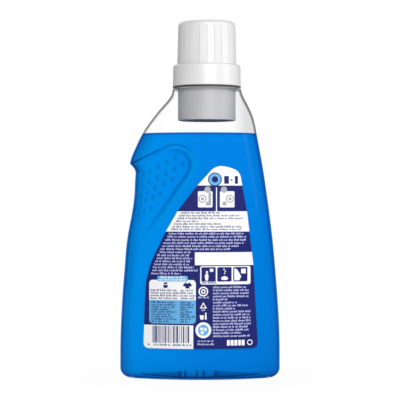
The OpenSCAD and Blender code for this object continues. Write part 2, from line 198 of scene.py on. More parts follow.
def add_object(name, bm, material):
    """Turns a bmesh into an object of the scene."""
    mesh = bpy.data.meshes.new(name)
    bm.to_mesh(mesh)
    bm.free()
    mesh.materials.append(material)
    made = bpy.data.objects.new(name, mesh)
    scene.collection.objects.link(made)
    return made


# %% [markdown]
# The floor shows white to the camera but still takes a faint shadow: its material mixes a plain
# matt white with light of strength 1 that only the camera and the reflections see. Further out,
# where no shadow falls, the share of light grows, so that the floor runs into the white world.

# %% Floor and world
FLOOR_SIZE = 8.0
NEAR_GLOW = 0.94
FAR_GLOW = 1.0
FADE_START = 0.05
FADE_END = 0.13


def seen_ray(tree, in_gloss):
    """1 for what the camera sees, also through clear things and, if asked for, in reflections."""
    path = node(tree, "LightPath").outputs
    seen = calculated(tree, "MAXIMUM", path["Is Camera Ray"], path["Is Transmission Ray"])
    return calculated(tree, "MAXIMUM", seen, path["Is Glossy Ray"]) if in_gloss else seen


def floor_material():
    material, tree = new_material("white floor")
    place = node(tree, "TexCoord").outputs["Object"]
    distance = node(tree, "VectorMath", operation="LENGTH")
    tree.links.new(place, distance.inputs[0])
    glow_share = mapped(tree, distance.outputs["Value"], FADE_START, FADE_END, NEAR_GLOW, FAR_GLOW)
    share = calculated(tree, "MULTIPLY", seen_ray(tree, True), glow_share)
    paper = node(tree, "BsdfDiffuse", Color=grey(0.9))
    glow = node(tree, "Emission", Color=WHITE, Strength=1.0)
    surface(tree, mixed(tree, share, paper, glow))
    return material


def floor():
    bm = bmesh.new()
    bmesh.ops.create_grid(bm, x_segments=1, y_segments=1, size=FLOOR_SIZE / 2)
    add_object("floor", bm, floor_material())


def white_world(strength):
    """A world that lights at the given strength and looks plain white to the camera."""
    world = bpy.data.worlds.new("world")
    world.use_nodes = True
    scene.world = world
    tree = world.node_tree
    tree.nodes.clear()
    output = tree.nodes.new("ShaderNodeOutputWorld")
    light = node(tree, "Background", Color=WHITE, Strength=strength)
    seen = node(tree, "Background", Color=WHITE, Strength=1.0)
    both = mixed(tree, seen_ray(tree, False), light, seen)
    tree.links.new(both.outputs[0], output.inputs["Surface"])


WORLD_LIGHT = 0.32
floor()
white_world(WORLD_LIGHT)


# %% Lamps
def soft_lamp(name, place, target, width, height, power):
    data = bpy.data.lights.new(name, "AREA")
    data.shape = "RECTANGLE"
    data.size = width
    data.size_y = height
    data.energy = power
    lamp = bpy.data.objects.new(name, data)
    lamp.location = place
    lamp.rotation_euler = (Vector(target) - Vector(place)).to_track_quat("-Z", "Y").to_euler()
    scene.collection.objects.link(lamp)
    return lamp


MIDDLE = (0, 0, 0.15)
soft_lamp("key", (0.16, -1.05, 0.5), MIDDLE, 0.6, 0.25, 7.0)
soft_lamp("side", (1.14, -0.37, 0.64), MIDDLE, 0.28, 0.9, 4.0)
soft_lamp("back", (-0.5, 0.9, 0.9), MIDDLE, 1.2, 0.8, 3.0)

# %% [markdown]
# ## The body's form
#
# The wall was blown into a mould: two gently curved panels meet in round ends, the right edge leans
# in towards an offset neck, and a grip is pinched into the left side. A form like this has no single
# operator, but it has a rule. A plain grid is made first, one column for each direction round the
# body and one row for each height, and every point of it is then moved to where the rule puts it.
# The rule below works in millimetres and reads its sizes from the model's own box.

# %% Sizes of the body
body_low, body_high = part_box("bottle")
gel_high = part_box("gel")[1]
gap_ring_low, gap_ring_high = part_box("cap_seal")
cap_low, cap_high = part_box("cap")
FOOT_WIDTH = (body_high.x - body_low.x) / MM
FOOT_DEPTH = (body_high.y - body_low.y) / MM
PANEL_DEPTH = 50.4
PANEL_R = 110.0
PANEL_TOP = 165.0
HEEL_R = 7.0
STAND_W = 2.5
PUSH_UP = 4.0
PUSH_RUN = 5.0
WALL = 0.8
GEL_GAP = 0.1
NECK_X = (cap_low.x + cap_high.x) / 2 / MM
LEDGE_Z = gap_ring_low.z / MM - 0.05
LEDGE_R = 25.25
LEDGE_T = 1.2
LOFT_TOP = LEDGE_Z - LEDGE_T
FILL_Z = gel_high.z / MM
TIP_Z = 156.0
GRIP_FOOT = 84.0
RIGHT_EDGE = ((0.086, 0), (0.42, 0.143), (0.672, 0.372), (0.839, 0.588), (0.902, 0.69),
              (0.944, 0.821), (0.975, 0.942), (1, 1))
LEFT_EDGE = ((0.086, 0), (0.274, 0.039), (0.404, 0.094), (0.523, 0.128), (0.744, 0.188),
             (0.798, 0.293), (0.86, 0.468), (0.923, 0.722), (0.975, 0.96), (1, 1))
print("foot", round(FOOT_WIDTH, 1), "mm wide, gel up to", round(FILL_Z, 1), "mm")


# %% The outline at one height
def lerp(a, b, t):
    return a + (b - a) * t


def clamp(t):
    return max(0.0, min(1.0, t))


def smooth(t):
    u = clamp(t)
    return u * u * (3 - 2 * u)


def slope_at(stations, i):
    if i == 0 or i == len(stations) - 1:
        return 0.0
    before, after = stations[i - 1], stations[i + 1]
    return (after[1] - before[1]) / (after[0] - before[0])


def curve_at(stations, place):
    """Smooth curve through stations (place, value), level at both ends."""
    u = max(stations[0][0], min(stations[-1][0], place))
    i = 0
    while i < len(stations) - 2 and u > stations[i + 1][0]:
        i += 1
    (x0, y0), (x1, y1) = stations[i], stations[i + 1]
    t = (u - x0) / (x1 - x0)
    swing = slope_at(stations, i) * (1 - t) - slope_at(stations, i + 1) * t
    return lerp(y0, y1, t * t * (3 - 2 * t)) + (x1 - x0) * t * (1 - t) * swing


def right_x(z):
    return lerp(FOOT_WIDTH / 2, NECK_X + LEDGE_R, curve_at(RIGHT_EDGE, z / LOFT_TOP))


def left_x(z):
    return lerp(-FOOT_WIDTH / 2, NECK_X - LEDGE_R, curve_at(LEFT_EDGE, z / LOFT_TOP))


def half_depth(z):
    if z < PANEL_TOP:
        return lerp(FOOT_DEPTH, PANEL_DEPTH, clamp((z - HEEL_R) / (PANEL_TOP - HEEL_R))) / 2
    return lerp(PANEL_DEPTH / 2, LEDGE_R, smooth((z - PANEL_TOP) / (LOFT_TOP - PANEL_TOP)))


class Outline:
    """The closed outline at one height: two wide arcs, joined by a small arc at each end."""

    def __init__(self, z):
        share = clamp((z - PANEL_TOP) / (LOFT_TOP - PANEL_TOP))
        self.r = lerp(PANEL_R, LEDGE_R + 0.05, share)
        self.depth = half_depth(z)
        self.middle = NECK_X * smooth(share)
        self.right = right_x(z) - self.middle
        self.left = self.middle - left_x(z)
        self.right_r = self.end_radius(self.right)
        self.left_r = self.end_radius(self.left)
        drop = self.r - self.depth
        self.right_turn = math.atan2(drop, self.right - self.right_r)
        self.left_turn = math.atan2(drop, self.left - self.left_r)

    def end_radius(self, reach):
        drop = self.r - self.depth
        return (self.r ** 2 - reach ** 2 - drop ** 2) / (2 * (self.r - reach))

    def point(self, where):
        """(x, y, direction, distance round from the middle of the panel) at where, from 0 to 3:
        0 to 1 is the right end, 1 to 2 the back panel and 2 to 3 the left end."""
        left_start = math.pi - self.left_turn
        if where < 1:
            a = self.right_turn * where
            x = self.middle + self.right - self.right_r + self.right_r * math.cos(a)
            return x, self.right_r * math.sin(a), a, -self.r
        round_panel = self.r * (left_start - math.pi / 2)
        if where <= 2:
            a = lerp(self.right_turn, left_start, where - 1)
            y = self.r * math.sin(a) - (self.r - self.depth)
            return self.middle + self.r * math.cos(a), y, a, self.r * (a - math.pi / 2)
        a = lerp(left_start, math.pi, where - 2)
        x = self.middle - self.left + self.left_r + self.left_r * math.cos(a)
        return x, self.left_r * math.sin(a), a, round_panel + self.left_r * (a - left_start)


outline_at = {}


def outline(z):
    """The outline at that height, kept so that each height is worked out only once."""
    key = round(z, 3)
    if key not in outline_at:
        outline_at[key] = Outline(key)
    return outline_at[key]


print("width at the tip:", round(right_x(TIP_Z) - left_x(TIP_Z), 1), "mm")

# %% [markdown]
# The grip is a dent with a rounded contour. A crisp ledge runs along its top, a soft step along its
# lower edge, and its floor carries rows of small raised dots that keep wet fingers from slipping.
# Dots could be separate domes, but on a clear wall their hidden edges would show through, so they
# are part of the same surface.

# %% The grip
LEDGE_SLOPE = math.radians(25.2)
GRIP_SLOPE = math.radians(55.5)
GRIP_RUN = 86.3
GRIP_CORNER = 15.3
GRIP_STEP = 6.0
GRIP_FACE = 3.6
GRIP_SIDE = 4.7
GRIP_FULL = 52.0
GRIP_GROWTH = 1.4
TIP = Vector((left_x(TIP_Z), TIP_Z))
LEDGE_WAY = Vector((math.cos(LEDGE_SLOPE), math.sin(LEDGE_SLOPE)))
EDGE_WAY = Vector((math.cos(GRIP_SLOPE), math.sin(GRIP_SLOPE)))
CROSSING = TIP + GRIP_RUN * LEDGE_WAY
CORNER_HALF = (GRIP_SLOPE - LEDGE_SLOPE) / 2
CORNER_AT = CROSSING - GRIP_CORNER / math.sin(CORNER_HALF) * (LEDGE_WAY + EDGE_WAY).normalized()


def grip_distances(x, z):
    """How far a point lies below the ledge and beyond the lower edge."""
    below = (x - TIP.x) * LEDGE_WAY.y - (z - TIP.y) * LEDGE_WAY.x
    beyond = (CROSSING.x - x) * EDGE_WAY.y - (CROSSING.y - z) * EDGE_WAY.x
    return below, beyond


def inside_contour(x, z):
    """How far a point lies inside the contour, whose two edges meet in a round corner."""
    way = Vector((x, z)) - CORNER_AT
    if way.dot(LEDGE_WAY) > 0 and way.dot(EDGE_WAY) > 0:
        return GRIP_CORNER - way.length
    return min(grip_distances(x, z))


def grip_share(x, z):
    below, beyond = grip_distances(x, z)
    if below <= 0 or beyond <= 0 or z < GRIP_FOOT:
        return 0.0
    inside = clamp(inside_contour(x, z) / GRIP_STEP)
    crisp = inside * (2 - inside)
    fade = smooth((z - GRIP_FOOT) / GRIP_FULL) ** GRIP_GROWTH
    return lerp(smooth(inside), crisp, beyond / (below + beyond)) * fade


# %% The dots
DOT_R = 1.75
DOT_HEIGHT = 0.2
DOT_ROWS = (((18.4, 160.1), (6.45, -3.15), 5), ((12.6, 155.3), (6.5, -3.13), 6),
            ((20.7, 144.6), (6.6, -3.0), 5), ((29.6, 133.9), (5.8, -2.35), 4),
            ((36.8, 123.4), (5.9, -2.25), 3), ((44.0, 112.5), (5.0, -3.0), 1))
# Places of the dots on the floor of the grip: (distance round from the middle, height).
DOTS = [Vector(first) + step * Vector(way) for first, way, count in DOT_ROWS for step in range(count)]
dots_near = {}
for dot in DOTS:
    for row in range(int(dot.y - DOT_R) - 1, int(dot.y + DOT_R) + 2):
        dots_near.setdefault(row, []).append(dot)


def dot_height(along, z):
    for dot in dots_near.get(int(z), ()):
        distance = math.hypot(along - dot.x, z - dot.y) / DOT_R
        if distance < 1:
            return DOT_HEIGHT * (1 - distance ** 2) ** 1.5
    return 0.0


print(len(DOTS), "dots on each side of the grip")

# %% [markdown]
# The rows of the grid rise to the right with the ledge, so that an edge of the mesh runs along it
# and the crease stays sharp. The foot has its own rows: a pushed-up base, the flat ring that the
# bottle stands on, and the round heel.

# %% Rows and columns
RISE_KNEE = (GRIP_RUN - GRIP_CORNER / math.tan(CORNER_HALF)) * LEDGE_WAY.y
RISE_TOP = CORNER_AT.y + GRIP_CORNER - TIP.y
RISE_START = GRIP_FOOT + 16
RISE_END = 2 * RISE_TOP - RISE_KNEE
END_STEPS = 14
PLAIN_STEPS = 24
FINE_STEPS = 120
GRIP_ROWS = 128
SIDE_STEPS = 24
PLAIN_SHARE = 0.47


def spread(start, end, count, crowding=1.0):
    """count values from start up to, but not including, end. They crowd towards the end."""
    return [end + (start - end) * (1 - k / count) ** crowding for k in range(count)]


def half_columns(plain_steps):
    """Where the columns of the back half stand, from 0 at the right end to 3 at the left."""
    right = spread(0, 1, END_STEPS)
    plain = spread(1, 1 + PLAIN_SHARE, plain_steps)
    fine = spread(1 + PLAIN_SHARE, 2, FINE_STEPS)
    side = spread(2, 3, SIDE_STEPS)
    return right + plain + fine + side + [3.0]


def ledge_rise(x):
    rise = max(0.0, (x - TIP.x) * math.tan(LEDGE_SLOPE))
    if rise < RISE_KNEE:
        return rise
    if rise < RISE_END:
        return RISE_TOP - (RISE_END - rise) ** 2 / (4 * (RISE_TOP - RISE_KNEE))
    return RISE_TOP


def rise_share(height):
    if height < TIP_Z:
        return clamp((height - RISE_START) / (TIP_Z - RISE_START))
    return clamp((FILL_Z - height) / (FILL_Z - TIP_Z))


def wall_point(height, where, skin):
    """A point of the body's wall, skin millimetres inside its outer face."""
    x, y, direction, along = outline(height).point(where)
    z = height + rise_share(height) * ledge_rise(x)
    x, y, direction, along = outline(z).point(where)
    across, out = math.cos(direction), math.sin(direction)
    dent = grip_share(x, z)
    inward = skin
    if dent > 0:
        inward += dent * lerp(GRIP_FACE, GRIP_SIDE, across ** 2)
        inward -= dot_height(along, z)
    return x - across * inward, y - out * inward, z, along


HEEL_STEPS = 14
BASE_ROWS = 6
BASE_ROWS_TOP = 11.0
# Each row of the foot: how far in from the heel's outline, its height, and the way the wall's
# thickness goes there, outward and down.
FOOT_ROWS = [(HEEL_R + STAND_W + PUSH_RUN * run, PUSH_UP * up, 0.0, 1.0)
             for run, up in ((1, 1), (0.75, 0.85), (0.25, 0.15), (0, 0))]
for k in range(HEEL_STEPS):
    turn = math.pi / 2 * (1 - k / HEEL_STEPS)
    outward, downward = math.cos(turn), math.sin(turn)
    FOOT_ROWS.append((HEEL_R * (1 - outward), HEEL_R * (1 - downward), outward, downward))


def foot_point(row, where, skin):
    inset, height, outward, downward = row
    x, y, direction, along = outline(HEEL_R).point(where)
    inward = inset + skin * outward
    x, y = x - math.cos(direction) * inward, y - math.sin(direction) * inward
    return x, y, height + skin * downward, along


def wall_heights(low, grip, surface_rows):
    heights = spread(HEEL_R, BASE_ROWS_TOP, BASE_ROWS) + spread(BASE_ROWS_TOP, GRIP_FOOT, low)
    heights += spread(GRIP_FOOT, TIP_Z, grip, 1.15)
    return heights + spread(TIP_Z, FILL_Z, surface_rows) + [FILL_Z]


def shoulder_heights(count):
    return spread(FILL_Z, LOFT_TOP, count)[1:] + [LOFT_TOP]


# %% Grid to wall
def add_skin(bm, heights, skin, painted_shade_at=None, plain_steps=PLAIN_STEPS):
    """Lays a grid round the body, closes it at its seam and its base, and returns its top edge."""
    # The depth attribute holds the gel's painted shade (above 0) and painted light (below 0).
    depth = bm.verts.layers.float.new("depth") if painted_shade_at else None
    half = half_columns(plain_steps)
    columns = [(w, 1) for w in half] + [(w, -1) for w in reversed(half[:-1])]
    rows = FOOT_ROWS + heights
    made = bmesh.ops.create_grid(bm, x_segments=len(columns) - 1, y_segments=len(rows) - 1, size=0.5)
    for vertex in made["verts"]:
        where, side = columns[round((vertex.co.x + 0.5) * (len(columns) - 1))]
        row = rows[round((vertex.co.y + 0.5) * (len(rows) - 1))]
        if isinstance(row, tuple):
            x, y, z, along = foot_point(row, where, skin)
        else:
            x, y, z, along = wall_point(row, where, skin)
        vertex.co = Vector((x, y * side, z)) * MM
        if painted_shade_at:
            vertex[depth] = painted_shade_at(x, z, along)
    bmesh.ops.remove_doubles(bm, verts=made["verts"], dist=0.001 * MM)
    skin_verts = [v for v in made["verts"] if v.is_valid]
    rims = {e for v in skin_verts for e in v.link_edges if e.is_boundary}
    base = [e for e in rims if e.verts[0].co.z < HEEL_R * MM]
    bmesh.ops.holes_fill(bm, edges=base, sides=0)
    return [e for e in rims if e not in base]


SHARP_FROM = math.radians(38)


def finish_piece(name, bm, material, body, smooth_faces=True):
    """Turns a bmesh into an object that rides on a body, with that material."""
    bmesh.ops.recalc_face_normals(bm, faces=bm.faces)
    for edge in bm.edges:
        edge.smooth = edge.calc_face_angle(math.pi) < SHARP_FROM
    piece = add_object(name, bm, material)
    if smooth_faces:
        piece.data.shade_smooth()
    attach(piece, body)
    print(name, len(piece.data.polygons), "faces")
    return piece


# %% [markdown]
# ## Clear PET
#
# A thin clear wall hardly bends the light. Seen straight on it is invisible, and towards its edges it
# looks grey, because the light runs a long way through it. Real glass shading would make the gel
# behind it slow and noisy to render, so the wall is a mix of see-through and gloss, and Layer Weight
# deepens its tint towards the edges. Below the gel's surface the tint is blue, because there the
# wall's edge is filled with the colour of the gel. Only the faces that look outwards shine: seen
# from inside, the Fresnel node would turn the wall into a mirror.

# %% Clear wall material
AIR_TINT = ((0.0, grey(0.999)), (0.54, grey(0.99)), (0.64, grey(0.9)),
            (0.7, grey(0.5)), (1.0, grey(0.47)))
GEL_TINT = ((0.0, grey(1.0)), (0.46, (0.96, 0.97, 0.98, 1)), (0.58, (0.3, 0.68, 0.86, 1)),
            (0.7, (0.02, 0.42, 0.74, 1)), (1.0, (0.0, 0.37, 0.7, 1)))
NECK_TINT = ((0.0, grey(0.995)), (0.7, grey(0.97)), (1.0, grey(0.9)))


GLOSS_SHARE = 0.16
GLOSS_LIMIT = 0.05
GLOSS_ROUGHNESS = 0.12
# Painted shade: above the gel the wall is painted darker towards the right.
RIGHT_SHADE_FROM = 0.024
RIGHT_SHADE_TO = 0.034
RIGHT_SHADE_TINT = (0.87, 0.87, 0.88, 1)
FOOT_FROM = 0.0009
FOOT_TO = 0.0016
FOOT_TINT = (0.02, 0.4, 0.72, 1)
MILK = 0.2


def milky(tree, clear, outside):
    """The clear shader with a share of white, where its faces look outwards."""
    white = node(tree, "BsdfDiffuse", Color=(0.85, 0.85, 0.86, 1))
    return mixed(tree, calculated(tree, "MULTIPLY", outside, MILK), clear, white)


def inside_material(name):
    """The wall's inner face: it doesn't shine, and its tint is hardly there."""
    material, tree = new_material(name)
    tint = ramp(tree, ((0.3, (0.996, 0.997, 0.998, 1)), (0.7, WHITE)), noise(tree, 25.0, 1.0))
    surface(tree, node(tree, "BsdfTransparent", Color=tint))
    return material


def wall_tint(tree, tints):
    """The tint of the wall above and below the gel's surface, deeper at its edges and its foot, with
    painted shade towards the right above the gel.
    """
    axes = object_axes(tree)
    facing = node(tree, "LayerWeight", Blend=0.5).outputs["Facing"]
    in_air = mapped(tree, axes["Z"], (FILL_Z - 0.3) * MM, (FILL_Z + 0.3) * MM)
    tint = blended(tree, in_air, ramp(tree, tints[1], facing), ramp(tree, tints[0], facing))
    # Painted shade: darker towards the right, above the gel only.
    to_right = mapped(tree, axes["X"], RIGHT_SHADE_FROM, RIGHT_SHADE_TO)
    right_shade = ramp(tree, ((0.0, WHITE), (1.0, RIGHT_SHADE_TINT)), to_right)
    tint = blended(tree, 1.0, tint, blended(tree, in_air, WHITE, right_shade), "MULTIPLY")
    foot = ramp(tree, ((0.0, FOOT_TINT), (1.0, WHITE)), mapped(tree, axes["Z"], FOOT_FROM, FOOT_TO))
    return blended(tree, 1.0, tint, foot, "MULTIPLY")


def clear_material(name, tints, milk=False):
    """A shiny clear face with a tint for the air and one for the gel, (AIR, GEL)."""
    material, tree = new_material(name)
    clear = node(tree, "BsdfTransparent", Color=wall_tint(tree, tints))
    uneven = grain(tree, 60.0, 2.0, 0.05, 0.0004)
    gloss = node(tree, "BsdfGlossy", Color=WHITE, Roughness=GLOSS_ROUGHNESS, Normal=uneven)
    outside = calculated(tree, "SUBTRACT", 1.0, node(tree, "NewGeometry").outputs["Backfacing"])
    limited = calculated(tree, "MINIMUM", node(tree, "Fresnel", IOR=1.25).outputs[0], GLOSS_LIMIT)
    share = calculated(tree, "MULTIPLY", limited, outside)
    faint = calculated(tree, "MULTIPLY", share, GLOSS_SHARE)
    surface(tree, mixed(tree, faint, milky(tree, clear, outside) if milk else clear, gloss))
    return material


CLEAR = clear_material("clear PET", (AIR_TINT, GEL_TINT))
CLEAR_INSIDE = inside_material("clear PET inside")
CLEAR_NECK = clear_material("clear PET neck", (NECK_TINT, NECK_TINT), True)


# %% The bottle's wall
def bottle_wall():
    bm = bmesh.new()
    outer_rim = add_skin(bm, wall_heights(18, GRIP_ROWS - 28, 18) + shoulder_heights(30), 0)
    outer_faces = set(bm.faces)
    inner_rim = add_skin(bm, wall_heights(6, 20, 6) + shoulder_heights(10), WALL)
    for face in bm.faces:
        if face not in outer_faces:
            face.material_index = 1
    bmesh.ops.bridge_loops(bm, edges=outer_rim + inner_rim)
    wall = finish_piece("bottle_wall", bm, CLEAR, "bottle")
    wall.data.materials.append(CLEAR_INSIDE)
    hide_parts("bottle")
    return wall


bottle_wall()

# %% [markdown]
# The neck is hidden by the cap until it lifts. It is a turned form, so its section is drawn as a
# few points and spun round the neck's axis. The ridge of the thread is spun too, with a small step
# upwards each time, which makes it climb.

# %% Neck and thread
BORE_R = 21.25
NECK_R = 22.2
RIM_Z = LEDGE_Z + 14.8
THREAD_Z = LEDGE_Z + 5.0
THREAD_PITCH = 4.2
THREAD_H = 1.0
THREAD_SINK = 0.3
FOOT_HALF = 1.0
CREST_HALF = 0.4
TURN_STEPS = 96


def spin_section(bm, points, steps=TURN_STEPS, closed=True):
    """Spins a section of (radius, height) points, in millimetres, once round the neck's axis."""
    verts = [bm.verts.new(Vector((NECK_X + r, 0, z)) * MM) for r, z in points]
    edges = [bm.edges.new((verts[k - 1], verts[k])) for k in range(0 if closed else 1, len(verts))]
    bmesh.ops.spin(bm, geom=verts + edges, cent=Vector((NECK_X, 0, 0)) * MM, axis=(0, 0, 1),
                   dvec=(0, 0, 0), angle=2 * math.pi, steps=steps, use_merge=True)


def thread(name, foot_r, crest_r, z, turns, material, body):
    """A ridge that climbs round the neck's axis: a small section, spun and raised a little each step."""
    bm = bmesh.new()
    section = [(foot_r, z - FOOT_HALF), (foot_r, z + FOOT_HALF), (crest_r, z + CREST_HALF),
               (crest_r, z - CREST_HALF)]
    face = bm.faces.new([bm.verts.new(Vector((NECK_X + r, 0, up)) * MM) for r, up in section])
    steps = round(TURN_STEPS * turns)
    bmesh.ops.spin(bm, geom=[face] + face.edges[:] + face.verts[:], cent=Vector((NECK_X, 0, 0)) * MM,
                   axis=(0, 0, 1), dvec=Vector((0, 0, THREAD_PITCH * turns / steps)) * MM,
                   angle=2 * math.pi * turns, steps=steps, use_merge=False)
    print(name, "open edges:", sum(e.is_boundary for e in bm.edges))
    finish_piece(name, bm, material, body)


def neck():
    bm = bmesh.new()
    foot_z = LOFT_TOP - WALL
    rim = LEDGE_R - 0.16
    spin_section(bm, [(BORE_R, foot_z), (rim, foot_z), (rim, LEDGE_Z - 0.3), (rim - 0.3, LEDGE_Z),
                      (NECK_R, LEDGE_Z), (NECK_R, RIM_Z - 0.3), (NECK_R - 0.3, RIM_Z), (BORE_R, RIM_Z)])
    finish_piece("bottle_neck", bm, CLEAR_NECK, "bottle")


neck()
thread("neck_thread", NECK_R - THREAD_SINK, NECK_R + THREAD_H, THREAD_Z, 1.25, CLEAR_NECK, "bottle")

# %% [markdown]
# ## The gel
#
# Behind the wall the gel fills the body up to a level surface. It is thick and coloured, so hardly
# anything shows through it. The shade and light of the wall's turns are painted into its colour:
# painted shade where the wall turns away, as along the ledge and the step of the grip, under the tip
# and round the left side of each dot, and painted light on the step's slope. The painted shade and
# light are worked out while the points are placed and kept on them as an attribute, and the material
# turns them into colour. On top of that, the blue is painted lighter on the left, where more light
# falls through, darker on the right and low down, and the pushed-up base is painted in as a dark lens
# of painted shade.

# %% Painted shade and light on the gel
# Sizes of the gel's painted shade and light: along the ledge and the floor's edge, on the step's slope,
# under the tip, round the dots, in the base, under the surface, and of the line beside the left edge.
LEDGE_AT = 0.4
LEDGE_HALF = 1.3
LEDGE_REACH = 44.0
LEDGE_REST = 0.1
FLOOR_AT = 5.1
FLOOR_HALF = 1.8
FLOOR_SHADE = 0.26
SLOPE_AT = 2.0
SLOPE_HALF = 2.6
SLOPE_LIGHT = -0.8
UNDERCUT = Vector((5.0, -4.6))
UNDERCUT_REACH = 3.4
DOT_RING = 1.4
DOT_RING_HALF = 0.65
DOT_SHADE = 0.58
LEFT_LINE_INSET = 5.9
LEFT_LINE_SHADE = 0.14
BASE_HALF = 44.0
BASE_MIDDLE = 3.9
BASE_TOP = 12.0
BASE_POSTS = ((-15.6, -13.2), (-11.3, -9.7), (-2.9, -1.5), (1.9, 3.2), (10.1, 12.5))
POST_SHADE = 0.75
WINDOW_SHADE = 0.12
WINDOW_FOOT = 0.55
LENS_SHADE = 0.42
LENS_LINE = 0.85
TOP_SHADE = 0.38


def peak(value, middle, half_width):
    """1 at the middle, falling to 0 at half a width on either side."""
    return smooth(1 - abs(value - middle) / half_width)


def step_painted_shade(x, z):
    """Painted shade where the grip's ledge and its lower step turn away and under the ledge's tip, and
    painted light, less than none, on the step's slope, through which light comes back."""
    below, beyond = grip_distances(x, z)
    inside = inside_contour(x, z)
    if inside < -1 or z < GRIP_FOOT:
        return 0.0
    way = Vector((x, z)) - TIP
    ledge = 0.0
    if below < beyond:
        strength = lerp(LEDGE_REST, 1.0, clamp(1 - way.length / LEDGE_REACH) ** 1.2)
        ledge = peak(inside, LEDGE_AT, LEDGE_HALF) * strength
    fade = smooth((z - GRIP_FOOT - 8) / 36) * smooth((way.length - 26) / 10)
    floor_edge = FLOOR_SHADE * peak(inside, FLOOR_AT, FLOOR_HALF) * fade
    along = clamp(way.dot(UNDERCUT) / UNDERCUT.length_squared)
    away = (way - along * UNDERCUT).length
    undercut = lerp(1.0, 0.6, along) * smooth(1 - away / UNDERCUT_REACH)
    shaded = max(ledge, floor_edge, undercut)
    return shaded if shaded > 0.02 else SLOPE_LIGHT * peak(inside, SLOPE_AT, SLOPE_HALF) * fade


def dot_painted_shade(along, z):
    """Painted shade: a dark crescent on the left of each dot, the side turned away from the light."""
    for dot in dots_near.get(int(z), ()):
        across, up = along - dot.x, z - dot.y
        distance = math.hypot(across, up)
        if distance < DOT_R + 0.6:
            to_left = clamp(1.1 + across / (distance + 0.01))
            return DOT_SHADE * peak(distance, DOT_RING, DOT_RING_HALF) * to_left
    return 0.0


def base_painted_shade(x, z):
    """Painted shade and light of the pushed-up base as it shows through the gel: a dark lens with dark
    posts between lighter windows.
    """
    reach = 1 - (x / BASE_HALF) ** 2
    if reach <= 0 or z > BASE_TOP:
        return 0.0
    top, foot = BASE_MIDDLE + 3.4 * reach, BASE_MIDDLE - 2.0 * reach
    lens = smooth((top + 0.3 - z) / 0.7) * smooth((z - foot + 0.4) / 0.5)
    if any(low < x < high for low, high in BASE_POSTS):
        return POST_SHADE * lens
    if BASE_POSTS[0][1] < x < BASE_POSTS[-1][0]:
        return lens * (WINDOW_FOOT if z < foot + 0.8 else WINDOW_SHADE)
    line = LENS_LINE * peak(z, foot + 0.5, 1.0) * smooth(reach / 0.12)
    return max(line, LENS_SHADE * lens * smooth(reach / 0.4))


def surface_line(z):
    """Painted shade: a darker line just under the gel's surface."""
    return TOP_SHADE * clamp(z - (FILL_Z - 2.2))


def left_edge_line(x, z):
    """A faint darker line painted on the gel beside the left edge, from the foot up to the grip."""
    return LEFT_LINE_SHADE * peak(x, left_x(z) + LEFT_LINE_INSET, 0.9) * smooth((104 - z) / 16)


# Painted shade and light on the gel at a point: grip, dots and base, with the darker lines under the
# surface and beside the left edge.
def painted_shade_and_light(x, z, along):
    dot = dot_painted_shade(along, z) if grip_share(x, z) > 0.5 else 0.0
    shaded = max(dot, base_painted_shade(x, z), surface_line(z), left_edge_line(x, z))
    step = step_painted_shade(x, z)
    return max(shaded, step) if shaded > 0 or step > 0 else step


# %% Gel material
# Painted light and shade on the gel's blue: lighter on the left, darker on the right and towards the
# foot.
GEL_PAINTED_LIGHT_LEFT = linear(0, 158, 252)
GEL_MIDDLE = linear(0, 133, 225)
GEL_PAINTED_SHADE_RIGHT = linear(0, 121, 212)
GEL_PAINTED_SHADE = linear(0, 30, 96)
GEL_PAINTED_LIGHT = linear(0, 172, 255)
GEL_PAINTED_SHADE_LOW = (0.7, 0.8, 0.82, 1)
GEL_PAINTED_SHADE_LOWER = (0.88, 0.96, 0.97, 1)


def gel_material():
    material, tree = new_material("blue gel")
    axes = object_axes(tree)
    # Painted light and shade: the blue is painted lighter on the left, where more light falls through,
    # darker on the right, and darker towards the foot.
    across = mapped(tree, axes["X"], -0.055, 0.055)
    side = ramp(tree, ((0.0, GEL_PAINTED_LIGHT_LEFT), (0.5, GEL_MIDDLE), (1.0, GEL_PAINTED_SHADE_RIGHT)), across)
    up = mapped(tree, axes["Z"], 0.0, 0.06)
    low = ramp(tree, ((0.0, GEL_PAINTED_SHADE_LOW), (0.25, GEL_PAINTED_SHADE_LOWER), (1.0, WHITE)), up)
    painted_lit_blue = blended(tree, 1.0, side, low, "MULTIPLY")
    # The depth attribute turns into painted shade, towards a deep blue, and painted light, towards a
    # paler blue.
    depth = node(tree, "Attribute", attribute_name="depth").outputs["Fac"]
    with_painted_light = blended(tree, mapped(tree, depth, 0.0, -1.0), painted_lit_blue, GEL_PAINTED_LIGHT)
    colour = blended(tree, mapped(tree, depth, 0.0, 1.0), with_painted_light, GEL_PAINTED_SHADE)
    surface(tree, node(tree, "BsdfPrincipled", Base_Color=colour, Roughness=0.4, IOR=1.05,
                       Specular_IOR_Level=0.1))
    return material


GEL = gel_material()


# %% The body of gel
def gel():
    bm = bmesh.new()
    rim = add_skin(bm, wall_heights(24, GRIP_ROWS, 22), WALL + GEL_GAP, painted_shade_and_light, 2 * PLAIN_STEPS)
    bmesh.ops.holes_fill(bm, edges=rim, sides=0)
    piece = finish_piece("gel_body", bm, GEL, "bottle")
    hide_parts("gel")
    return piece


gel()

# %% [markdown]
# ## Cap, insert and the dark ring under the collar
#
# These three are injection moulded. Their surface is satin, with the fine grain of the mould. The
# insert keeps the model's own solid. The near-black ring under the collar is painted shadow: it stands
# in for the shadow gap between the collar and the neck's ledge. It is spun again from the model's seal,
# a little thinner, and the cap's collar reaches down to it.

# %% Moulded plastics
def speckled(tree, colour, share, source):
    """A colour that a noise darkens to a share of itself."""
    return ramp(tree, ((0.0, (*(share * c for c in colour[:3]), 1)), (1.0, colour)), source)


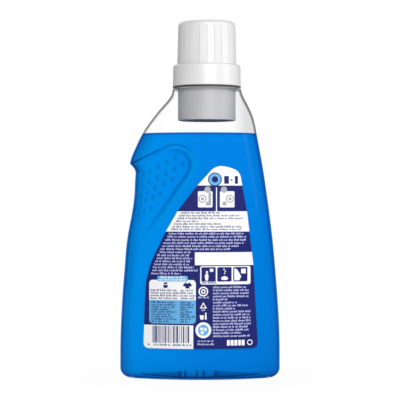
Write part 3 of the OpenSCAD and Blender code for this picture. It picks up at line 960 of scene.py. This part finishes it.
def moulded_material(name, colour, roughness, grain_scale, shaded_grooves=False):
    material, tree = new_material(name)
    cloud = noise(tree, 35.0, 2.0)
    shade = speckled(tree, colour, 0.97, cloud)
    if shaded_grooves:
        painted_groove_shade = node(tree, "Attribute", attribute_name="painted_groove_shade").outputs["Fac"]
        # Painted shade: the grooves are painted darker.
        shade = blended(tree, painted_groove_shade, shade, GROOVE_SHADE)
    rough = mapped(tree, cloud, 0.0, 1.0, roughness - 0.05, roughness + 0.05)
    uneven = grain(tree, grain_scale, 4.0, 0.25, GRAIN_DEPTH)
    surface(tree, node(tree, "BsdfPrincipled", Base_Color=shade, Roughness=rough, Normal=uneven, IOR=1.5))
    return material


GRAIN_DEPTH = 0.00003
# Painted shade in the cup's grooves: their colour is painted darker.
GROOVE_SHADE = (0.6, 0.6, 0.61, 1)
WHITE_CAP = moulded_material("white cap", grey(0.79), 0.34, 900.0, True)
GREY_INSERT = moulded_material("grey insert", (0.5, 0.5, 0.515, 1), 0.42, 900.0)
# Painted shadow: the ring under the collar is near-black, standing in for the shadow gap there.
GAP_SHADOW_FINISH = moulded_material("painted gap shadow", (0.035, 0.035, 0.036, 1), 0.5, 700.0)


# %% Pouring insert
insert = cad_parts["pour_insert"]
insert.data.materials.clear()
insert.data.materials.append(GREY_INSERT)
print("pour_insert dressed")

# %% Dark ring of painted shadow under the collar
GAP_RING_R = (gap_ring_high.x - gap_ring_low.x) / 2 / MM
GAP_RING_BORE_R = GAP_RING_R - 1.6
GAP_RING_T = 1.0


def shadow_gap_ring():
    bm = bmesh.new()
    foot, top = gap_ring_low.z / MM, gap_ring_low.z / MM + GAP_RING_T
    spin_section(bm, [(GAP_RING_BORE_R, foot), (GAP_RING_R - 0.2, foot), (GAP_RING_R, foot + 0.2),
                      (GAP_RING_R, top - 0.2), (GAP_RING_R - 0.2, top), (GAP_RING_BORE_R, top)])
    ring = finish_piece("shadow_gap_ring", bm, GAP_SHADOW_FINISH, "seal")
    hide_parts("cap_seal")


shadow_gap_ring()

# %% [markdown]
# The cap is spun from its section: up the collar, over the cup and down again on the inside. Then the
# outer points of the cup are pulled in to make 24 flats, with a fine groove between each two, and the
# grooves are painted darker as painted shade.

# %% Cap
COLLAR_DROP = 0.65
CAP_Z = cap_low.z / MM - COLLAR_DROP
CUP_TOP = cap_high.z / MM
COLLAR_TOP = CAP_Z + 15.7
COLLAR_R = (cap_high.x - cap_low.x) / 2 / MM
COLLAR_EDGE = 1.5
COLLAR_BORE_R = 23.6
ROOF_Z = RIM_Z + 1.6
CUP_FOOT_R = 21.75
CUP_TOP_R = 20.9
CUP_EDGE = 3.0
CUP_WALL = 1.5
CUP_END = 1.3
FLATS = 24
FLAT_STEPS = 16
FLAT_DEPTH = 0.13
GROOVE_DEPTH = 0.34
GROOVE_HALF = 0.4
FLAT_FOOT = 0.6
FLAT_END = 3.7
EDGE_STEPS = 6


def round_edge(centre_r, centre_z, radius, falling=False):
    """Points round a quarter of a circle, from its side up to its top or the other way round."""
    turns = [math.pi / 2 * k / EDGE_STEPS for k in range(EDGE_STEPS + 1)]
    if falling:
        turns.reverse()
    return [(centre_r + radius * math.cos(a), centre_z + radius * math.sin(a)) for a in turns]


def cup_radius(z):
    return lerp(CUP_FOOT_R, CUP_TOP_R, (z - COLLAR_TOP) / (CUP_TOP - COLLAR_TOP))


def cap_section():
    flats_from, flats_to = COLLAR_TOP + FLAT_FOOT, CUP_TOP - FLAT_END
    sides = [flats_from, flats_from + 0.4] + spread(flats_from + 0.8, flats_to - 0.4, 5)
    sides += [flats_to - 0.4, flats_to]
    outer = [(COLLAR_R - 0.3, CAP_Z), (COLLAR_R, CAP_Z + 0.3)]
    outer += round_edge(COLLAR_R - 0.25 - COLLAR_EDGE, COLLAR_TOP - COLLAR_EDGE, COLLAR_EDGE)
    outer += [(CUP_FOOT_R + 0.4, COLLAR_TOP), (CUP_FOOT_R + 0.1, COLLAR_TOP + 0.1),
              (CUP_FOOT_R, COLLAR_TOP + 0.4)]
    outer += [(cup_radius(z), z) for z in sides]
    outer += round_edge(CUP_TOP_R - CUP_EDGE, CUP_TOP - CUP_EDGE, CUP_EDGE) + [(0, CUP_TOP)]
    roof = CUP_TOP - CUP_END
    inner_edge = CUP_EDGE - CUP_WALL / 2
    edge_r = CUP_TOP_R - CUP_WALL - inner_edge
    inner = [(0, roof)] + round_edge(edge_r, roof - inner_edge, inner_edge, True)
    inner += [(cup_radius(ROOF_Z) - CUP_WALL, ROOF_Z), (COLLAR_BORE_R, ROOF_Z),
              (COLLAR_BORE_R, CAP_Z + 0.3), (COLLAR_BORE_R + 0.3, CAP_Z), (COLLAR_R - 0.3, CAP_Z)]
    return outer + inner


def pull_flats(bm):
    """Pulls the outside of the cup in to its flats and grooves, and keeps on each point how far it lies
    in a groove, for the painted shade there.
    """
    share = 2 * math.pi / FLATS
    painted_groove_shade = bm.verts.layers.float.new("painted_groove_shade")
    lowest, highest = COLLAR_TOP + FLAT_FOOT + 0.1, CUP_TOP - FLAT_END - 0.1
    for vertex in bm.verts:
        x, y, z = vertex.co.x / MM - NECK_X, vertex.co.y / MM, vertex.co.z / MM
        radius = math.hypot(x, y)
        if not lowest < z < highest or radius < cup_radius(z) - 0.1:
            continue
        turn = math.atan2(y, x) % share - share / 2
        flat = min(radius, (radius - FLAT_DEPTH) / math.cos(turn))
        to_groove = (share / 2 - abs(turn)) * radius
        in_groove = clamp(1 - to_groove / GROOVE_HALF)
        pulled = flat - GROOVE_DEPTH * in_groove
        vertex[painted_groove_shade] = in_groove
        vertex.co.x = (NECK_X + x * pulled / radius) * MM
        vertex.co.y = y * pulled / radius * MM


def cap():
    bm = bmesh.new()
    spin_section(bm, cap_section(), FLATS * FLAT_STEPS, closed=False)
    bmesh.ops.remove_doubles(bm, verts=bm.verts, dist=0.001 * MM)
    pull_flats(bm)
    print("cap: open edges", sum(e.is_boundary for e in bm.edges))
    piece = finish_piece("cap_body", bm, WHITE_CAP, "cap")
    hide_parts("cap")


cap()
thread("cap_thread", COLLAR_BORE_R + THREAD_SINK, COLLAR_BORE_R - THREAD_H, THREAD_Z - THREAD_PITCH / 2,
       0.9, WHITE_CAP, "cap")

# %% [markdown]
# ## The label
#
# The label is a printed film on the front panel. Each field is cut from a flat sheet, scored every
# few millimetres so that it can bend, and then laid on the panel's curve. The fields lie on each
# other like coats of ink, each a few hundredths of a millimetre over the one before.

# %% Laying flat shapes on the panel
COAT = 0.04
BEND_STEP = 4.0
UP = (0, 0, 1)
DOWN = (0, 0, -1)
RIGHT = (1, 0, 0)


def panel_y(x, z):
    """Where the front panel's face is, in millimetres."""
    return -(math.sqrt(PANEL_R ** 2 - x ** 2) - (PANEL_R - half_depth(z)))


def lay_on_panel(bm, coat):
    """Moves flat shapes, whose y is their own thickness, onto the panel at that coat."""
    for vertex in bm.verts:
        x, y, z = vertex.co
        vertex.co = Vector((x, panel_y(x, z) - coat * COAT + y, z)) * MM


def cut(bm, place, way, drop=False):
    """Cuts all that is in bm by a plane through a place. What way points to can be dropped."""
    bmesh.ops.bisect_plane(bm, geom=bm.verts[:] + bm.edges[:] + bm.faces[:], dist=1e-5,
                           plane_co=place, plane_no=way, clear_outer=drop)


def score(bm):
    """Cuts the shapes across every few millimetres, so that they can follow the curve."""
    reach = int(FOOT_WIDTH / 2 / BEND_STEP)
    for k in range(-reach, reach + 1):
        cut(bm, (k * BEND_STEP, 0, 0), RIGHT)


def add_shape(bm, points, corner=0.0, rounded=None, segments=5):
    """A flat shape with these corners, in millimetres across and up. A corner radius rounds all of
    them, or those that are listed."""
    verts = [bm.verts.new((x, 0, z)) for x, z in points]
    bmesh.ops.contextual_create(bm, geom=verts)
    if corner > 0:
        picked = [verts[k] for k in rounded] if rounded else verts
        bmesh.ops.bevel(bm, geom=picked, offset=corner, segments=segments, profile=0.5,
                        affect="VERTICES", material=-1)


def add_panel(bm, x0, z0, x1, z1, corner=0.0):
    add_shape(bm, [(x0, z0), (x1, z0), (x1, z1), (x0, z1)], corner)


def upright(x, z):
    """Stands what is made flat on the floor up against the label, at that place."""
    return Matrix.Translation((x, 0, z)) @ Matrix.Rotation(math.pi / 2, 4, "X")


def add_disc(bm, x, z, radius, steps=36):
    bmesh.ops.create_circle(bm, cap_ends=True, segments=steps, radius=radius, matrix=upright(x, z))


def lay_piece(name, bm, ink_used, coat):
    """Lays what has its thickness already on the panel, and makes it a piece."""
    lay_on_panel(bm, coat)
    material, slot = ink_used
    return finish_piece(name, bm, material, "bottle", smooth_faces=False)


def print_piece(name, bm, ink_used, coat):
    """Gives the flat shapes in bm a thickness of one coat, lays them and makes them a piece."""
    score(bm)
    made = bmesh.ops.extrude_face_region(bm, geom=bm.faces[:])
    for item in made["geom"]:
        if isinstance(item, bmesh.types.BMVert):
            item.co.y += COAT
    return lay_piece(name, bm, ink_used, coat)


# %% Inks
def ink(name, colour, slot):
    """A printed colour, as its material and its slot."""
    material, tree = new_material(name)
    shade = speckled(tree, colour, 0.96, noise(tree, 1500.0, 2.0))
    surface(tree, node(tree, "BsdfPrincipled", Base_Color=shade, Roughness=0.35, IOR=1.2))
    return material, slot


FILM_WHITE = ink("film white", (0.95, 0.95, 0.96, 1), "label_white")
NAVY = ink("navy ink", linear(32, 38, 110), "label_navy")
SKY = ink("sky ink", linear(106, 180, 228), "label_sky")
PALE_INK = ink("white ink", (0.95, 0.95, 0.96, 1), "label_white")
GREY_INK = ink("grey ink", linear(170, 176, 180), "label_white")
SMALL_PRINT = ink("pale blue ink", linear(206, 210, 250), "label_white")

# %% The film and its fields
LABEL_SHAPE = [(-40.9, 22.9), (41.9, 22.9), (38.5, 82.9), (33.8, 121.9), (28.6, 150.3), (19.0, 154.0),
               (11.0, 154.0), (-2.2, 139.7), (-15.9, 121.9), (-24.6, 106.9), (-35.1, 85.2), (-38.8, 71.5),
               (-39.7, 56.9)]
REAL_CORNERS = (0, 1, 4, 5, 6)
LABEL_CORNER = 3.9
UPPER_FIELD = (121.5, 140.0)
LOWER_FIELD_TOP = 106.9


def add_label_shape(bm):
    """The label's whole outline: only its real corners are rounded."""
    add_shape(bm, LABEL_SHAPE, LABEL_CORNER, REAL_CORNERS, 6)


def band(name, low, high):
    """A navy band across the label, from one level up to another."""
    bm = bmesh.new()
    add_label_shape(bm)
    cut(bm, (0, 0, low), DOWN, True)
    cut(bm, (0, 0, high), UP, True)
    return print_piece(name, bm, NAVY, 3)


film_bm = bmesh.new()
add_label_shape(film_bm)
film = print_piece("film", film_bm, FILM_WHITE, 2)
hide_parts("label_film")
lower_band = band("navy_lower", 0, LOWER_FIELD_TOP)
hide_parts("label_navy")
band("navy_upper", *UPPER_FIELD)

# %% [markdown]
# The fields hold panels, tiles, rings and other plain shapes. Pictures and marks are not copied: a
# disc, a ring or a small figure of blocks stands wherever such a label has one.

# %% Plain shapes in the fields
TABLE = (-36.6, 40.9, -3.0, 72.2)
TABLE_CORNER = 2.5
TABLE_SPLIT = 57.7
HEADER = (-30.7, 71.1, -8.7, 75.1)
BARS_RIGHT = -4.8
BARS_TOP = 39.8
TILE_FRAME = (0.15, 69.0, 36.4, 82.1)
TILES_LEFT = (1.0, 12.4, 23.9)
TILES_FOOT = 71.1
TILE_WIDTH = 10.3
MARKS_X = 2.4
SEAL_MARK_Z = 36.3
PANELS_LEFT = (-1.5, 14.3)
PANEL_FOOT = 124.3
PANEL_TOP_Z = 135.9
PANEL_WIDTH = 10.5
TOP_RING = (10.75, 144.4)


def add_ring(bm, x, z, outer, inner, steps=36):
    """A flat ring. With three steps it is a triangle with a hole."""
    loops = [bmesh.ops.create_circle(bm, segments=steps, radius=radius, matrix=upright(x, z))["verts"]
             for radius in (outer, inner)]
    edges = {e for loop in loops for v in loop for e in v.link_edges}
    bmesh.ops.bridge_loops(bm, edges=list(edges))


def add_block(bm, x, z, width, height, corner=0.0):
    """A flat rectangle round its middle."""
    add_panel(bm, x - width / 2, z - height / 2, x + width / 2, z + height / 2, corner)


def white_fields():
    bm = bmesh.new()
    add_label_shape(bm)
    cut(bm, (0, 0, BARS_TOP), UP, True)
    cut(bm, (BARS_RIGHT, 0, 0), RIGHT, True)
    add_shape(bm, [(-3.7, 82.8), (38.5, 82.8), (37.38, 92.1), (-3.7, 92.1)])
    add_panel(bm, *TILE_FRAME, 1.4)
    add_panel(bm, *TABLE, TABLE_CORNER)
    add_ring(bm, MARKS_X, 64.0, 3.5, 2.6)
    add_ring(bm, MARKS_X, 64.0, 1.7, 0.8, 24)
    add_ring(bm, MARKS_X, 53.4, 3.0, 1.6, 3)
    add_shape(bm, [(0.3, 43.9), (2.4, 43.9), (2.8, 47.0), (-0.2, 47.0)])
    add_block(bm, 4.1, 45.6, 1.2, 3.4)
    add_disc(bm, 4.1, 48.2, 0.65, 16)
    add_disc(bm, MARKS_X, SEAL_MARK_Z, 5.7)
    for k in range(5):
        add_block(bm, 20.4 + 2.65 * k, 27.1, 2.1, 4.0, 0.3)
    add_ring(bm, 35.9, 27.2, 2.0, 1.4, 24)
    for x in PANELS_LEFT:
        add_panel(bm, x, PANEL_FOOT, x + PANEL_WIDTH, PANEL_TOP_Z, 0.8)
    add_panel(bm, 11.5, UPPER_FIELD[0], 12.2, UPPER_FIELD[1] - 1.4)
    print_piece("white_fields", bm, PALE_INK, 4)


def navy_shapes():
    """Tiles in the frame, a cup and a shirt over the table, and the blocks at the top."""
    bm = bmesh.new()
    for x in TILES_LEFT:
        add_panel(bm, x, TILES_FOOT, x + TILE_WIDTH, TILES_FOOT + TILE_WIDTH, 0.7)
    add_shape(bm, [(-26.0, 66.4), (-23.6, 66.4), (-23.0, 68.6), (-26.6, 68.6)])
    add_block(bm, -24.8, 69.8, 2.4, 1.4, 0.3)
    add_block(bm, -9.0, 68.0, 2.9, 3.6)
    add_shape(bm, [(-12.4, 68.4), (-11.5, 67.6), (-9.0, 69.0), (-6.5, 67.6), (-5.6, 68.4), (-7.6, 70.6),
                   (-10.4, 70.6)])
    print_piece("navy_shapes", bm, NAVY, 5)
    bm = bmesh.new()
    add_ring(bm, *TOP_RING, 5.0, 4.3, 48)
    add_disc(bm, *TOP_RING, 2.3)
    add_block(bm, 19.1, 144.1, 3.4, 5.6, 0.3)
    add_block(bm, 22.7, 144.0, 1.3, 1.1)
    add_block(bm, 26.2, 144.1, 2.2, 5.6, 0.3)
    print_piece("navy_top", bm, NAVY, 4)


def sky_fields():
    bm = bmesh.new()
    add_panel(bm, *TABLE, TABLE_CORNER)
    cut(bm, (0, 0, TABLE_SPLIT), UP, True)
    add_panel(bm, *HEADER, 1.2)
    add_disc(bm, MARKS_X, SEAL_MARK_Z, 3.9)
    add_ring(bm, *TOP_RING, 4.3, 2.3, 48)
    piece = print_piece("sky_fields", bm, SKY, 5)
    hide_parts("label_sky")


def tile_figures():
    """Pale figures of discs and blocks on the tiles and on the round mark."""
    bm = bmesh.new()
    first, second, third = (x + TILE_WIDTH / 2 for x in TILES_LEFT)
    add_disc(bm, first - 1.2, 77.9, 0.8, 16)
    add_shape(bm, [(first - 2.2, 71.8), (first - 0.4, 71.8), (first, 75.0), (first - 0.6, 76.9),
                   (first - 1.9, 76.9), (first - 2.8, 75.0)])
    add_block(bm, first + 2.2, 79.2, 2.6, 2.2, 0.5)
    add_disc(bm, second, 73.6, 1.5, 24)
    add_disc(bm, second - 1.2, 73.4, 1.2, 24)
    add_disc(bm, second + 1.3, 73.4, 1.2, 24)
    for across, up in ((-0.3, 79.8), (0.6, 78.4), (0.1, 77.0)):
        add_disc(bm, second + across, up, 0.5, 12)
    add_shape(bm, [(third - 4.4, 71.9), (third - 0.8, 71.9), (third + 0.6, 74.6), (third - 2.2, 79.6),
                   (third - 4.4, 80.6)])
    add_block(bm, third + 2.2, 78.5, 3.4, 3.4, 0.3)
    for across, up, radius in ((-1.3, 1.0, 1.1), (1.3, 0.6, 1.2), (-0.8, -1.7, 1.2)):
        add_disc(bm, MARKS_X + across, SEAL_MARK_Z + up, radius, 16)
    print_piece("tile_figures", bm, PALE_INK, 6)


def panel_figures():
    """Grey rings and discs on the two white panels of the upper field."""
    bm = bmesh.new()
    for x, side in zip(PANELS_LEFT, (-1, 1)):
        middle = x + PANEL_WIDTH / 2
        add_ring(bm, middle + side * 2.0, 130.4, 2.9, 2.1)
        add_disc(bm, middle + side * 2.0, 130.4, 1.2, 24)
        add_disc(bm, middle - side * 2.0, 127.0, 1.6, 24)
    add_disc(bm, 5.4, 137.0, 2.3, 24)
    add_disc(bm, 17.2, 137.0, 2.3, 24)
    add_panel(bm, PANELS_LEFT[0] + 7.6, PANEL_FOOT + 1.5, PANELS_LEFT[0] + 9.6, PANEL_TOP_Z - 1.0)
    print_piece("panel_figures", bm, GREY_INK, 6)


white_fields()
navy_shapes()
sky_fields()
tile_figures()
panel_figures()

# %% [markdown]
# The small print on such a bottle is far too small to read here, and none of it is copied. Rows of
# short strokes with the rhythm of words take its place. Each stroke is a small block.

# %% Rows of strokes
STROKE_W = 0.4
STROKE_GAP = 0.3
STROKE_H = 1.0
TALL_H = 1.5
WORD_GAP = 0.7
draw = random.Random(11)


def add_stroke(bm, x, z, width, height):
    place = Matrix.Translation((x + width / 2, COAT / 2, z + height / 2))
    bmesh.ops.create_cube(bm, size=1.0, matrix=place @ Matrix.Diagonal((width, COAT, height, 1)))


def add_line(bm, x0, x1, z):
    """A line of strokes from x0 to x1, in words of two to nine strokes, standing round a level."""
    x = x0
    left = draw.randint(2, 9)
    while x + STROKE_W < x1:
        tall = draw.random() < 0.3
        add_stroke(bm, x, z - STROKE_H / 2, STROKE_W, TALL_H if tall else STROKE_H)
        if draw.random() < 0.35:
            up = draw.choice((0.0, 0.4, 0.75))
            add_stroke(bm, x + STROKE_W, z - STROKE_H / 2 + up, STROKE_GAP, 0.25)
        x += STROKE_W + STROKE_GAP
        left -= 1
        if left == 0:
            x += WORD_GAP
            left = draw.randint(2, 9)


def words(name, rows, ink_used, coat):
    """A piece of such lines, each given by its left end, its right end and its level."""
    bm = bmesh.new()
    for x0, x1, z in rows:
        add_line(bm, x0, x1, z)
    lay_piece(name, bm, ink_used, coat)


def column(x0, ends, z, pitch):
    """Lines under each other that start in one column: the ends of all of them are given."""
    return [(x0, end, z - k * pitch) for k, end in enumerate(ends)]


strip_rows = [(-13.6, 14.3, 120.3), (-15.0, 29.4, 118.3), (-16.1, 30.8, 116.3), (-17.2, -1.4, 114.2),
              (-18.4, 15.4, 112.3), (-19.7, 30.1, 110.3), (-20.6, 29.7, 108.4)]
words("words_strip", strip_rows, NAVY, 3)
wide_rows = [(-22.4, 31.5, 105.3), (-23.3, 33.6, 103.1), (-25.0, 33.3, 100.8), (-26.5, 31.3, 98.6),
             (-27.3, 28.4, 96.4), (-28.5, 22.1, 94.2)]
left_rows = [(-29.0, -6.7, 92.0), (-30.7, -7.6, 89.7), (-31.3, -5.3, 87.6), (-32.2, -6.7, 85.4),
             (-33.0, -8.0, 83.2), (-33.8, -4.2, 81.1), (-34.4, -1.4, 78.9), (-35.3, -13.8, 76.6)]
right_ends = (33.0, 35.8, 36.0, 35.0, 19.5, 26.6, 34.2, 25.4, 36.4, 36.0, 36.6, 36.4, 37.0, 34.6, 35.4,
              29.5, 35.8)
right_rows = column(9.3, right_ends, 66.9, 2.19)
small_rows = [(-1.4, 6.2, 59.6), (1.0, 3.8, 50.6), (-1.7, 9.3, 28.4), (-1.7, 10.6, 26.1)]
words("words_lower", wide_rows + left_rows + right_rows + small_rows, SMALL_PRINT, 4)
table_rows = column(-35.6, (-16.5, -14.8, -14.8, -15.0), 64.6, 1.9)
table_rows += column(-14.0, (-5.0, -4.6, -3.7, -4.2), 64.6, 1.9)
words("words_table", table_rows + [(1.4, 11.6, 70.1)], NAVY, 5)
sky_rows = column(-35.0, (-17.2, -16.8, -18.4, -21.5, -16.6, -20.8, -19.8, -16.8, -22.4), 56.0, 1.72)
sky_rows += column(-14.1, (-6.2, -4.4, -4.8, -8.4, -5.6, -7.0, -3.8, -6.4, -7.8), 56.0, 1.72)
words("words_sky", sky_rows, NAVY, 6)
words("words_header", [(-28.5, -11.0, 74.0), (-29.5, -10.0, 72.2)], PALE_INK, 6)
bar_rows = [(-37.6, -36.4, 25.5), (-33.2, -21.6, 25.5), (-19.6, -8.6, 25.5), (-7.4, -6.2, 25.5)]
words("words_bars", bar_rows, NAVY, 5)


# %% Bars at the lower left
BAR_MODULE = 0.28
BARS_LEFT = -34.1
BARS_END = -8.0
BARS_FOOT = 27.1
BAR_HEIGHT = 12.1


def bars():
    bm = bmesh.new()
    x = BARS_LEFT
    while x < BARS_END:
        width = BAR_MODULE * draw.choice((1, 1, 2, 3))
        add_stroke(bm, x, BARS_FOOT, width, BAR_HEIGHT)
        x += width + BAR_MODULE * draw.choice((1, 1, 2, 3))
    lay_piece("bars", bm, NAVY, 5)


bars()
